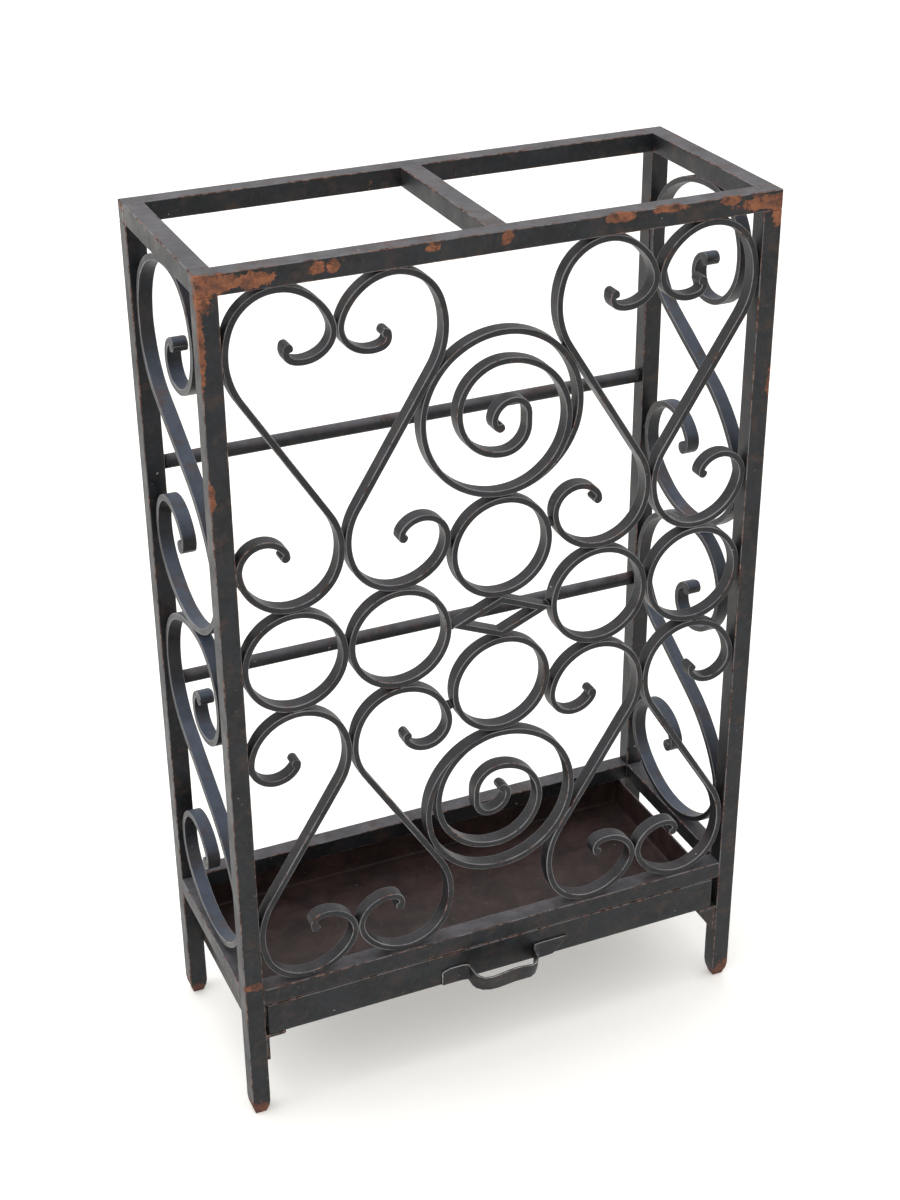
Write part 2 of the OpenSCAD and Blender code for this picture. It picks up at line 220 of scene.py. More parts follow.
# %% Straight bars
STEP = 6 * MM
END_STEPS = 3
SQUARE_MIDS = (3, 3, 3, 3)
foot_low, foot_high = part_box("post_front_left")
BAR = foot_high.x - foot_low.x
FOOT_H = 8 * MM
FOOT_IN = 3.2 * MM
# The taper fades out a little above its nominal height, and stays a little shallower.
FOOT_FADE, FOOT_SHALLOW = 1.4, 0.9


def stops(length, r):
    """Distances along a bar with the inset of its rounded end: (distance, inset, arris)."""
    front = [(0.0, r + FLAT_HOLD, 0.0)]
    for k in range(END_STEPS + 1):
        a = math.pi / 2 * k / END_STEPS
        front.append((r * (1 - math.cos(a)), r * (1 - math.sin(a)), 1.0 if k < END_STEPS else ARC_END))
    span = length - 2 * r - 2 * FLAT_HOLD
    n = max(2, round(span / STEP))
    body = [(r + FLAT_HOLD + span * k / n, 0.0, 0.0) for k in range(n + 1)]
    back = [(length - d, i, m) for d, i, m in reversed(front)]
    return front + body + back


def straight_bar(node, shrink=None):
    """A square bar that fills the node's box; shrink(distance) tells how far the sides draw in at a foot."""
    low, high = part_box(node)
    size = high - low
    axis = max(range(3), key=lambda i: size[i])
    a, b = [i for i in range(3) if i != axis]
    half_a, half_b = size[a] / 2, size[b] / 2
    mid_a, mid_b = low[a] + half_a, low[b] + half_b
    rings = []
    for d, inset, end in stops(size[axis], EDGE_R):
        draw = inset + (shrink(d) if shrink else 0.0)
        core = Vector((0, 0, 0))
        core[a], core[b], core[axis] = mid_a, mid_b, low[axis] + d
        ring = []
        for x, y, m in bar_slice(half_a - draw, half_a - draw, draw - half_b, half_b - draw, SQUARE_MIDS):
            p = core.copy()
            p[a] += x
            p[b] += y
            ring.append((hammered(p, core, WAVE), max(m, end)))
        rings.append(ring)
    return skin(node + "_bar", rings)


def foot(d):
    """How far a post's faces draw in near the floor: a soft taper with a rounded shoulder."""
    k = max(0.0, 1 - d / (FOOT_FADE * FOOT_H))
    return FOOT_IN * FOOT_SHALLOW * k * k * (3 - 2 * k)


posts = ["post_front_left", "post_front_right", "post_back_left", "post_back_right"]
rails = ["top_rail_front", "top_rail_back", "top_rail_left", "top_rail_right", "top_divider"]
rails += ["base_rail_front", "base_rail_back", "base_rail_left", "base_rail_right"]
for node in posts:
    stand_in(straight_bar(node, foot), node)
for node in rails:
    stand_in(straight_bar(node), node)
print("square bars", len(made), "bar", round(BAR / MM, 2), "mm")

# %% [markdown]
# ## Round rods
# Two round rods cross the open back, so that nothing falls out. They are drawn bar, smoother than the
# rest, and butt against the posts. A ring of points swept along X is all they need.

# %% Rods
ROD_SIDES = 32


def rod(node):
    low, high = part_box(node)
    r = (high.z - low.z) / 2
    y, z = (low.y + high.y) / 2, (low.z + high.z) / 2
    rings = []
    n = round((high.x - low.x) / STEP)
    for i in range(n + 1):
        core = Vector((low.x + (high.x - low.x) * i / n, y, z))
        ring = []
        for k in range(ROD_SIDES):
            a = math.tau * k / ROD_SIDES
            p = core + Vector((0, math.cos(a), math.sin(a))) * r
            ring.append((hammered(p, core, WAVE / 2), 0.0))
        rings.append(ring)
    return skin(node + "_round", rings)


for node in ("back_rod_high", "back_rod_low"):
    stand_in(rod(node), node)

# %% [markdown]
# ## Scroll lines
# A smith bends a scroll cold round a former, so its line is a chain of arcs: a tight curl at the tip,
# wider and wider bends, a nearly straight run, and the same again the other way. Each line is written
# just so, as a list of bends with a radius and a sweep. A turtle walks it, and the line is then stretched
# to fill the box of the solid that it replaces, turned over where the pattern is mirrored.

# %% Walk the bends
WALK = 0.5
FRONT_BENDS = [(7.2, 101.5), (21.8, 121.5), (39, 148.2), (64, 51.4), (0, 121.2)]
FRONT_BENDS += [(52.7, -52.7), (40.7, -153.6), (20.5, -149.8), (7, -49.3)]
FRONT_HEADING = 239.6
SIDE_BENDS = [(17.6, -167.9), (47.3, -181.9), (112.3, -34.2), (64.2, -122.5), (0, 78)]
SIDE_BENDS += [(127.3, 33.4), (47.1, 67.9), (88.6, 93.4), (37.6, 191.3), (10, 100)]
SIDE_HEADING = -4.2
SPIRAL_BENDS = [(66.3, 109.8), (65, 90), (67, 90), (55, 90), (53.5, 90), (38.7, 90)]
SPIRAL_BENDS += [(37, 90), (21, 90), (0, 9), (13, 90), (16, 90), (6, 75)]
SPIRAL_HEADING = 70.2


def walk(bends, heading):
    """Points every half millimetre or so along a chain of arcs and straights, from the origin."""
    x, y, h = 0.0, 0.0, math.radians(heading)
    line = [(x, y)]
    for r, amount in bends:
        sweep = math.radians(amount) if r else 0.0
        length = abs(sweep) * r if r else amount
        n = max(2, round(length / WALK))
        for _ in range(n):
            h += sweep / n / 2
            x += length / n * math.cos(h)
            y += length / n * math.sin(h)
            h += sweep / n / 2
            line.append((x, y))
    return line


def fit(line, low, high, flip_u=False, flip_v=False):
    """Stretch a line to fill a rectangle, turned over left to right or top to bottom if asked."""
    us, vs = [p[0] for p in line], [p[1] for p in line]
    out = []
    for u, v in line:
        ku = (u - min(us)) / (max(us) - min(us))
        kv = (v - min(vs)) / (max(vs) - min(vs))
        ku = 1 - ku if flip_u else ku
        kv = 1 - kv if flip_v else kv
        out.append((low[0] + (high[0] - low[0]) * ku, low[1] + (high[1] - low[1]) * kv))
    return out


print("front scroll line", len(walk(FRONT_BENDS, FRONT_HEADING)), "points")

# %% [markdown]
# ## Flat bar along a line
# The scrollwork is flat bar on edge, 12 mm deep and a little over 5 mm thick. Slices stand square across
# the line. At a tip the smith has rolled the end up into a small solid curl, which from the front is a
# round knob a bit fatter than the bar; the side scrolls have fatter curls than the front ones. Here the
# slices simply swell to the knob's circle and close over it, so bar and knob are one skin with a crease
# where the roll meets the bar, as on the real iron.

# %% Sweep flat bar
FLAT_T = 5.3 * MM
KNOB_R = 3.9 * MM
SIDE_KNOB_R = 5.6 * MM
KNOB_OUT = 0.35 * MM
KNOB_FLARE = 0.35 * MM
KNOB_STEP = 0.45 * MM
BEND_STEP = 2.2 * MM
# The last slice stands just short of the knob's tip, and fine slices go on to just past the knob.
KNOB_TIP, KNOB_NECK = 0.985, 1.15
STRETCH_STEPS = 8
# Points to look back over when a heading or a turn is read off the line.
LOOK, LOOK_TURN = 2, 4


def measured(line):
    """Distance along the line at each of its points."""
    far = [0.0]
    for a, b in zip(line, line[1:]):
        far.append(far[-1] + math.hypot(b[0] - a[0], b[1] - a[1]))
    return far


def curls_left(line):
    """True if the line's last stretch turns left."""
    a, b, c = line[-1 - 2 * LOOK_TURN], line[-1 - LOOK_TURN], line[-1]
    return (b[0] - a[0]) * (c[1] - b[1]) - (b[1] - a[1]) * (c[0] - b[0]) > 0


def stretch_ends(line, extra):
    """Carry the line straight on at both ends, so that a knob has somewhere to close."""
    a = unit(line[LOOK], line[0])
    b = unit(line[-1 - LOOK], line[-1])
    steps = [extra * k / STRETCH_STEPS for k in range(1, STRETCH_STEPS + 1)]
    head = [(line[0][0] + a[0] * s, line[0][1] + a[1] * s) for s in reversed(steps)]
    tail = [(line[-1][0] + b[0] * s, line[-1][1] + b[1] * s) for s in steps]
    return head + line + tail


def sample(line, far, s):
    """Place and heading at distance s."""
    i = min(max(bisect.bisect_right(far, s) - 1, 0), len(line) - 2)
    k = (s - far[i]) / (far[i + 1] - far[i])
    d = unit(line[max(i - LOOK, 0)], line[min(i + 1 + LOOK, len(line) - 1)])
    return along(line[i], line[i + 1], k), d


def knob_reach(s, side, roll):
    """How far a knob of radius roll reaches left and right of the line, s past its middle."""
    if abs(s) >= roll:
        return None
    c = math.sqrt(roll**2 - s**2)
    off = roll - FLAT_T / 2 - KNOB_OUT
    return c + side * off, c - side * off


def set_slice(place, point, d, shape, core, wave):
    """A slice's points, set square across the line at one point of it."""
    ring = []
    for x, w, mark in shape:
        p = Vector(place(point[0] - d[1] * x, point[1] + d[0] * x, w))
        ring.append((hammered(p, core, wave), mark))
    return ring


def flat_bar(name, line, near, far_side, place, roll=KNOB_R, lap=()):
    """Flat bar swept along a line; place(u, v, w) turns line and depth into a point in the stand.

    Both ends are rolled into knobs of radius roll. With a lap the first end has none: lap holds
    (point, heading, thickness) for slices that come before the line's own."""
    length = measured(line)[-1]
    turn_last = 1 if curls_left(line) else -1
    turn_first = -1 if curls_left(line[::-1]) else 1
    long_line = stretch_ends(line, roll)
    far = [d - roll for d in measured(long_line)]
    tip, neck = KNOB_TIP * roll, KNOB_NECK * roll
    n = round(2 * roll / KNOB_STEP)
    dense = [-tip + (tip + neck) * k / n for k in range(n + 1)]
    marks = [0.0] if lap else list(dense)
    inner_a, inner_b = marks[-1] + BEND_STEP, length - neck - BEND_STEP
    m = round((inner_b - inner_a) / BEND_STEP)
    marks += [inner_a + (inner_b - inner_a) * k / m for k in range(m + 1)]
    marks += [length - d for d in reversed(dense)]
    mid_depth = (near + far_side) / 2
    rings = []
    for point, d, thick in lap:
        core = Vector(place(*point, mid_depth))
        shape = bar_slice(thick / 2, thick / 2, near, far_side, FLAT_MIDS)
        rings.append(set_slice(place, point, d, shape, core, WAVE * min(1.0, thick / FLAT_T)))
    for s in marks:
        (u, v), d = sample(long_line, far, s)
        left = right = FLAT_T / 2
        flare = 0.0
        if s < 0 or s > length:
            left = right = -1.0
        ends = [(length - s, turn_last)] if lap else [(s, turn_first), (length - s, turn_last)]
        for past, turn in ends:
            reach = knob_reach(past, turn, roll)
            if reach:
                left, right = max(left, reach[0]), max(right, reach[1])
                flare = KNOB_FLARE * math.sqrt(max(0.0, 1 - (past / roll) ** 2))
        middle = (left - right) / 2
        core = Vector(place(u - d[1] * middle, v + d[0] * middle, mid_depth))
        shape = bar_slice(left, right, near - flare, far_side + flare, FLAT_MIDS, uneven_edge(core))
        rings.append(set_slice(place, (u, v), d, shape, core, WAVE))
    return skin(name, rings)


def front_place(u, v, w):
    """Lines in the front panel run along X and Z, and are deep along Y."""
    return (u, w, v)


def side_place(u, v, w):
    """Lines in a side panel run along Y and Z, and are deep along X."""
    return (w, u, v)


def line_in(bends, heading, low, high, flip_u=False, flip_v=False):
    """A walked line stretched so that the bar on it fills the rectangle from low to high."""
    t = FLAT_T / 2
    return fit(walk(bends, heading), (low[0] + t, low[1] + t), (high[0] - t, high[1] - t), flip_u, flip_v)


# %% [markdown]
# ## Front scrolls
# The drawn scroll is a regular one. The smith's own volutes are a little fuller: each swells out until it
# touches the bar beside it, and the two beside the middle column hang lower at their tips.

# %% Front scrolls
SWELL = 28 * MM
TOP_SAG = 1.5 * MM
TIP_SAG = 3.5 * MM


def hand_bent(line, side, left, right, sag):
    """Both volutes pulled out to the edge each turns towards, with the bend eased in along the bar."""
    far = measured(line)
    quarter = len(line) // 4
    top = max(range(quarter), key=lambda i: side * line[i][0])
    tip = min(range(len(line) - quarter, len(line)), key=lambda i: side * line[i][0])
    top_edge, tip_edge = (right, left) if side > 0 else (left, right)
    out = []
    for (u, v), s in zip(line, far):
        at_top = math.exp(-(((s - far[top]) / SWELL) ** 2))
        past = max(0.0, far[tip] - s)
        at_tip = math.exp(-((past / SWELL) ** 2))
        u += at_top * (top_edge - line[top][0]) + at_tip * (tip_edge - line[tip][0])
        out.append((u, v - at_top * TOP_SAG - at_tip * sag))
    return out


def front_scroll(node, over, low_one, sag):
    """One front scroll: over turns it left to right, low_one top to bottom."""
    low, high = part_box(node)
    t = FLAT_T / 2
    line = line_in(FRONT_BENDS, FRONT_HEADING, (low.x, low.z), (high.x, high.z), over, low_one)
    line = hand_bent(line, -1 if over else 1, low.x + t, high.x - t, sag)
    line = [(u, min(max(v, low.z + t), high.z - t)) for u, v in line]
    return flat_bar(node + "_bar", line, low.y, high.y, front_place)


for letter in "abde":
    for level in ("high", "low"):
        node = f"scroll_{letter}_{level}"
        sag = TIP_SAG if letter in "bd" and level == "high" else 0.0
        stand_in(front_scroll(node, letter in "be", level == "low", sag), node)
print("front scrolls done:", len(made), "pieces")

# %% [markdown]
# ## Side scrolls
# Each side has two taller scrolls, one above the other, bent from the same bar. The right side is the
# mirror of the left, and both lean the same way, so one line serves all four.

# %% Side scrolls
def side_scroll(node):
    low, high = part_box(node)
    line = line_in(SIDE_BENDS, SIDE_HEADING, (low.y, low.z), (high.y, high.z))
    return flat_bar(node + "_bar", line, low.x, high.x, side_place, SIDE_KNOB_R)


for side in ("left", "right"):
    for level in ("high", "low"):
        node = f"side_scroll_{side}_{level}"
        stand_in(side_scroll(node), node)

# %% [markdown]
# ## Spirals
# The two big spirals are one bar each, wound inwards for two and a half turns. The inner end is rolled
# like the other tips. The outer end is drawn out to a long thin wedge and forged down onto the bar's own
# next turn, so that the spiral's outside stays round. The lap is made first: slices between the spiral's
# outer circle and the back of the turn inside it, from nothing up to the bar's full thickness.

# %% Spirals
LAP_SWEEP, LAP_STEP = 62, 2
LAP_THIN = 0.5 * MM
LAP_SUNK = 0.25 * MM
LAP_BULGE = 1.2 * MM
SAME_WAY = 0.02


def lap_slices(line, middle):
    """Slices of the drawn-out outer end, thinnest first, lying on the back of the next turn."""
    def polar(p):
        u, v = p[0] - middle[0], p[1] - middle[1]
        return math.hypot(u, v), math.atan2(v, u)

    outer_r, start = polar(line[0])
    # Past its first fifth the line is on its inner turns.
    inner = [polar(p) for p in line[len(line) // 5:]]
    slices = []
    for k in range(LAP_SWEEP, 0, -LAP_STEP):
        a = start - math.radians(k)
        near_a = [r for r, angle in inner if abs(math.remainder(angle - a, math.tau)) < SAME_WAY]
        back = max(near_a) + FLAT_T / 2 - LAP_SUNK
        thick = min(FLAT_T, max(LAP_THIN, outer_r + FLAT_T / 2 - back))
        r = min(outer_r + FLAT_T / 2, back + thick + LAP_BULGE) - thick / 2
        point = (middle[0] + r * math.cos(a), middle[1] + r * math.sin(a))
        slices.append((point, (-math.sin(a), math.cos(a)), thick))
    return slices


def spiral(node, upside_down):
    low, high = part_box(node)
    line = line_in(SPIRAL_BENDS, SPIRAL_HEADING, (low.x, low.z), (high.x, high.z), upside_down, upside_down)
    middle = ((low.x + high.x) / 2, (low.z + high.z) / 2)
    return flat_bar(node + "_bar", line, low.y, high.y, front_place, lap=lap_slices(line, middle))


for node, upside_down in (("spiral_high", False), ("spiral_low", True)):
    stand_in(spiral(node, upside_down), node)

# %% [markdown]
# ## Rings and the diamond
# Six closed rings fill the middle of the front. A ring is the same slice carried round a circle and
# joined to itself. The diamond is mitred: each point of the slice goes round its own smaller rhombus,
# and the four corners stay sharp.

# %% Rings
RING_STEPS = 112
RING_WAVE = WAVE * 1.4


def ring_piece(node):
    low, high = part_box(node)
    cx, cz = (low.x + high.x) / 2, (low.z + high.z) / 2
    r = (high.x - low.x) / 2 - FLAT_T / 2
    rings = []
    for i in range(RING_STEPS):
        a = math.tau * i / RING_STEPS
        core = Vector((cx + r * math.cos(a), (low.y + high.y) / 2, cz + r * math.sin(a)))
        ring = []
        for x, w, mark in bar_slice(FLAT_T / 2, FLAT_T / 2, low.y, high.y, FLAT_MIDS, uneven_edge(core)):
            p = Vector((cx + (r + x) * math.cos(a), w, cz + (r + x) * math.sin(a)))
            ring.append((hammered(p, core, RING_WAVE), mark))
        rings.append(ring)
    return skin(node + "_bar", rings, closed=True)


for node in ("ring_a", "ring_b", "ring_d", "ring_e", "ring_c_high", "ring_c_low"):
    stand_in(ring_piece(node), node)

# %% Diamond
SIDE_STEPS = 14


def diamond_piece(node):
    low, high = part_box(node)
    cx, cz = (low.x + high.x) / 2, (low.z + high.z) / 2
    half_w, half_h = (high.x - low.x) / 2, (high.z - low.z) / 2
    across = half_w * half_h / math.hypot(half_w, half_h)
    tips = [(1, 0), (0, 1), (-1, 0), (0, -1)]
    rings = []
    for i in range(4 * SIDE_STEPS):
        a, b = tips[i // SIDE_STEPS], tips[(i // SIDE_STEPS + 1) % 4]
        u, v = along(a, b, (i % SIDE_STEPS) / SIDE_STEPS)
        ring = []
        for x, w, mark in bar_slice(0.0, FLAT_T, low.y, high.y, FLAT_MIDS):
            k = 1 + x / across
            ring.append((Vector((cx + half_w * u * k, w, cz + half_h * v * k)), mark))
        rings.append(ring)
    piece = skin(node + "_bar", rings, closed=True)
    size = len(rings[0])
    for edge in piece.data.edges:
        a, b = edge.vertices
        edge.use_edge_sharp = a // size == b // size and a // size % SIDE_STEPS == 0
    return piece


stand_in(diamond_piece("diamond"), "diamond")
print("front panel done:", len(made), "pieces")

# %% [markdown]
# ## Weld beads
# Where two bars meet, the smith ran a short bead down the crease. The plain model has a small wedge in
# every crease. Each wedge is found again as a loose part of that node's mesh, and a lumpy bead is laid
# over it: a ball of fine triangles stretched down the crease and roughened.

# %% Beads
BEAD_R = 1.5 * MM
BEAD_WIDE, BEAD_LONG = 1.05, 1.04
LUMP = 0.5 * MM
LUMP_WIDE, LUMP_FINE = 2.6 * MM, 1.2 * MM
LUMP_ALONG = 0.3
TOUCH = 1e-5


def loose_parts(mesh):
    """Lowest and highest corner of each separate part of a mesh."""
    parent = list(range(len(mesh.vertices)))

    def root(i):
        while parent[i] != i:
            parent[i] = parent[parent[i]]
            i = parent[i]
        return i

    for e in mesh.edges:
        parent[root(e.vertices[0])] = root(e.vertices[1])
    boxes = {}
    for i, v in enumerate(mesh.vertices):
        key = root(i)
        lo, hi = boxes.get(key, (v.co.copy(), v.co.copy()))
        boxes[key] = (Vector(map(min, lo, v.co)), Vector(map(max, hi, v.co)))
    return merge_touching(list(boxes.values()))


def merge_touching(boxes):
    """Parts of one wedge share a box; faces that come apart in the file are put together again."""
    out = []
    for lo, hi in sorted(boxes, key=lambda b: tuple(round(x, 5) for x in b[0])):
        for i, (a, b) in enumerate(out):
            if all(lo[k] <= b[k] + TOUCH and hi[k] >= a[k] - TOUCH for k in range(3)):
                out[i] = (Vector(map(min, a, lo)), Vector(map(max, b, hi)))
                break
        else:
            out.append((lo, hi))
    return out


def beads(node, axis):
    """One lumpy bead for each wedge of the node, all in one piece; axis is the crease's direction."""
    boxes = loose_parts(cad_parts[node].data)
    bm = bmesh.new()
    for lo, hi in boxes:
        middle, half = (lo + hi) / 2, (hi - lo) / 2
        reach = Vector([max(h * BEAD_WIDE, BEAD_R) for h in half])
        reach[axis] = half[axis] * BEAD_LONG
        for v in bmesh.ops.create_icosphere(bm, subdivisions=3, radius=1.0)["verts"]:
            n = v.co.copy()
            p = middle + Vector([n[i] * reach[i] for i in range(3)])
            lift = n * (noise.noise(p / LUMP_WIDE) + 0.5 * noise.noise(p / LUMP_FINE)) * LUMP
            lift[axis] *= LUMP_ALONG
            v.co = p + lift
    mesh = bpy.data.meshes.new(node + "_beads")
    bm.to_mesh(mesh)
    bm.free()
    layer = mesh.attributes.new("arris", "FLOAT", "POINT")
    layer.data.foreach_set("value", [0.0] * len(mesh.vertices))
    mesh.shade_smooth()
    print(node, "beads", len(boxes))
    return link(node + "_beads", mesh)


stand_in(beads("welds_front", 1), "welds_front")
stand_in(beads("welds_side", 0), "welds_side")

# %% [markdown]
# ## The drip tray
# A shallow box folded from thin sheet. It is skinned like everything else, but its slices lie flat: they
# start small in the middle of the floor, spread to the walls, climb them, turn over the rim and come back
# underneath. The sheet is old, so the rim dips and the floor ripples a little.

# %% Tray
SHEET = 1.5 * MM
FOLD_R = 2.2 * MM
FLOOR_STEP = 11 * MM
RIM = 1.2 * MM
RIM_DIP = 1.3 * MM
FLOOR_SAG = 0.5 * MM
FLOOR_EDGE = 20 * MM
RIPPLE = 38 * MM
CORE_IN = 4 * MM
TRAY_MIDS = (60, 24, 60, 24)
WALL_STEPS = 4
# The four upright folds wear half as much as the rim.
FOLD_WORN = 0.5
# In the small rings at the middle of the floor, the rounding and the hold are these shares of the ring.
CORE_R, CORE_HOLD = 0.4, 0.2
# The dips' pace along the rim, where their noise is read, and how low on the wall the ripples reach.
DIP_PACE, DIP_X, DIP_Z = 9, 4.1, 0.3
RIPPLE_TOP = 0.2


def tray_ring(low, high, inset, z, mark, inside):
    """One flat slice of the tray, inset from its outline; its four corners are rounded."""
    cx, cy = (low.x + high.x) / 2, (low.y + high.y) / 2
    hx, hy = (high.x - low.x) / 2 - inset, (high.y - low.y) / 2 - inset
    ring = []
    corners = [(hx, hy), (-hx, hy), (-hx, -hy), (hx, -hy)]
    for x, y, m in slice_of(corners, TRAY_MIDS, min(FOLD_R, CORE_R * hy), min(RIM, CORE_HOLD * hy)):
        ring.append((Vector((cx + x, cy + y, z)), max(mark, m * FOLD_WORN), inside))
    return ring


def dented(p, low, high):
    """Old sheet: the rim dips here and there, and the floor ripples."""
    k = (p.z - low.z) / (high.z - low.z)
    spot = Vector((p.x * DIP_PACE + DIP_X, p.y * DIP_PACE, DIP_Z))
    dip = max(0.0, noise.noise(spot)) * RIM_DIP * max(0.0, k) ** 2
    edge = min(p.x - low.x, high.x - p.x, p.y - low.y, high.y - p.y)
    on_floor = min(1.0, edge / FLOOR_EDGE) if k < RIPPLE_TOP else 0.0
    ripple = noise.noise(p / RIPPLE) * FLOOR_SAG * on_floor
    return Vector((p.x, p.y, p.z - dip + abs(ripple)))


def tray_pan(node):
    low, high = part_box(node)
    rings = []

    def lay(inset, z, mark, inside):
        rings.append(tray_ring(low, high, inset, z, mark, inside))

    half = (high.y - low.y) / 2
    n = round((half - 2 * CORE_IN) / FLOOR_STEP)
    spread = [half - CORE_IN - (half - CORE_IN - SHEET - FOLD_R) * k / n for k in range(n + 1)]
    for inset in spread:
        lay(inset, low.z + SHEET, 0.0, 1.0)
    for k in range(1, ARC + 1):
        a = math.pi / 2 * k / ARC
        lay(SHEET + FOLD_R * (1 - math.sin(a)), low.z + SHEET + FOLD_R * (1 - math.cos(a)), 0.0, 1.0)
    wall = high.z - low.z - SHEET - FOLD_R - RIM
    for k in range(1, WALL_STEPS + 1):
        lay(SHEET, low.z + SHEET + FOLD_R + wall * k / WALL_STEPS, 0.0, 1.0)
    for k in range(WALL_STEPS + 1):
        a = math.pi * k / WALL_STEPS
        lay(SHEET / 2 + SHEET / 2 * math.cos(a), high.z - SHEET / 2 + SHEET / 2 * math.sin(a), 1.0, 0.5)
    for k in range(WALL_STEPS + 1):
        lay(0.0, high.z - RIM - (high.z - low.z - RIM - FOLD_R) * k / WALL_STEPS, 0.0, 0.0)
    for k in range(1, ARC + 1):
        a = math.pi / 2 * k / ARC
        lay(FOLD_R * (1 - math.cos(a)), low.z + FOLD_R * (1 - math.sin(a)), ARC_END if k < ARC else 0.0, 0.0)
    for inset in reversed(spread[:-1]):
        lay(inset, low.z, 0.0, 0.0)
    rings = [[(dented(p, low, high), m, i) for p, m, i in ring] for ring in rings]
    return skin(node + "_sheet", rings, marks=("arris", "inside"))


stand_in(tray_pan("tray_pan"), "tray_pan", "tray")

# %% [markdown]
# ## The pull
# A strip of thin bar, bent into a bow for two fingers, with two feet that lie flat on the tray. It
# has been knocked about: the middle of the bow is pushed in, its lower edge is bent back under, and its
# right leg leans towards the left. The line of the strip is walked like a scroll, seen from above, and
# then the knocks are added point by point. The left foot has one rounded corner, the right a slanted end.

# %% Pull
PULL_T = 1.8 * MM
PULL_BEND = 11
PULL_ROOT = 3
PULL_REACH = 26
PULL_W = 63
FOOT_LEFT, FOOT_RIGHT = 22, 30
PUSHED_IN = 3.4 * MM
BENT_UNDER = 2.5 * MM
BENT_MORE = 4.5 * MM
RIGHT_LEAN = 5.0 * MM
# The push in the bow is strongest a little right of its middle.
PUSH_AT, PUSH_WIDE = 0.15, 0.5
CORNER = 7 * MM
CORNER_CUT = 0.7
SLANT = 14 * MM
SLANT_CUT = 1.05
THIN_END, THIN_EDGE = 0.6 * MM, 0.5 * MM
STRIP_MIDS = (1, 4, 1, 4)


def pull_piece(node):
    low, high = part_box(node)
    leg = PULL_REACH - PULL_BEND - PULL_ROOT
    bends = [(0, FOOT_LEFT), (PULL_ROOT, -90), (0, leg), (PULL_BEND, 90), (0, PULL_W - 2 * PULL_BEND)]
    bends += [(PULL_BEND, 90), (0, leg), (PULL_ROOT, -90), (0, FOOT_RIGHT)]
    t = PULL_T / 2
    line = fit(walk(bends, 0), (low.x, low.y + t), (high.x, high.y - t))
    length = measured(line)
    middle = low.x + (FOOT_LEFT + PULL_ROOT + PULL_W / 2) * MM
    reach, tall = high.y - low.y, high.z - low.z
    rings = []
    for s, inset, end in stops(length[-1], THIN_END):
        (u, v), d = sample(line, length, s)
        core = Vector((u, v, (low.z + high.z) / 2))
        rounding = 1 - math.sqrt(max(0.0, 1 - max(0.0, 1 - s / CORNER) ** 2))
        top = tall - CORNER_CUT * CORNER * rounding - inset
        bottom = inset + max(0.0, s - length[-1] + SLANT) * SLANT_CUT
        out = max(0.0, (high.y - v) / reach)
        across = (u - middle) / (PULL_W / 2 * MM)
        dent = math.exp(-(((across - PUSH_AT) / PUSH_WIDE) ** 2))
        ring = []
        for x, w, mark in bar_slice(t - inset, t - inset, bottom, top, STRIP_MIDS, THIN_EDGE):
            p = Vector((u - d[1] * x, v + d[0] * x, low.z + w))
            p.y += out**3 * PUSHED_IN * dent + out * (1 - w / tall) * (BENT_UNDER + BENT_MORE * across**2)
            p.x -= out * RIGHT_LEAN * max(0.0, min(1.0, across))
            ring.append((hammered(p, core, WAVE), max(mark, end)))
        rings.append(ring)
    return skin(node + "_strip", rings)


stand_in(pull_piece("tray_pull"), "tray_pull", "tray")

# %% [markdown]
# ## Runners
# The tray slides on two lengths of angle iron welded inside the posts. A slice of angle has five outer
# corners and one inner one. The front inner corner of the shelf is worn round, so the shelf grows from
# nothing to its full width over the first few millimetres.

# %% Runners
ANGLE_T = 3 * MM
WORN_R = 5 * MM
ANGLE_MIDS = (5, 1, 5, 3, 1, 4)
LEG_R, LEG_HOLD = 0.3, 0.2


def runner(node, side):
    low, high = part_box(node)
    outer = low.x if side < 0 else high.x
    rings = []
    for d, inset, end in stops(high.y - low.y, THIN_END):
        short = WORN_R - math.sqrt(max(0.0, WORN_R**2 - (WORN_R - d) ** 2)) if d < WORN_R else 0.0
        i, t = inset, ANGLE_T
        w, h = high.x - low.x - short, high.z - low.z
        corners = [(i, h - i), (i, i), (t - i, i), (t - i, h - t + i), (w - i, h - t + i), (w - i, h - i)]
        leg = t - 2 * i
        ring = []
        for x, z, mark in slice_of(corners, ANGLE_MIDS, min(THIN_END, LEG_R * leg), LEG_HOLD * leg):
            ring.append((Vector((outer - side * x, low.y + d, low.z + z)), max(mark, end)))
        rings.append(ring)
    return skin(node + "_angle", rings)


stand_in(runner("runner_left", -1), "runner_left")
stand_in(runner("runner_right", 1), "runner_right")
print("all pieces", len(made))

# %% [markdown]
# ## Helpers for materials
# A material is a small graph of nodes. A few short functions keep the graphs readable: one adds a node
# and fills its inputs, others are its most common uses, and one makes a node group with named sockets,
# so that an effect is built once and used by every paint with its own values.

# %% Node helpers
def fill(tree, node, inputs):
    """Fill a node's inputs: a socket is linked, a plain value is set."""
    for key, value in (inputs or {}).items():
        if isinstance(value, bpy.types.NodeSocket):
            tree.links.new(value, node.inputs[key])
        else:
            node.inputs[key].default_value = value
    return node


def add(tree, kind, inputs=None, **settings):
    """A new node, with its settings and its inputs."""
    n = tree.nodes.new("ShaderNode" + kind)
    for key, value in settings.items():
        setattr(n, key, value)
    return fill(tree, n, inputs)


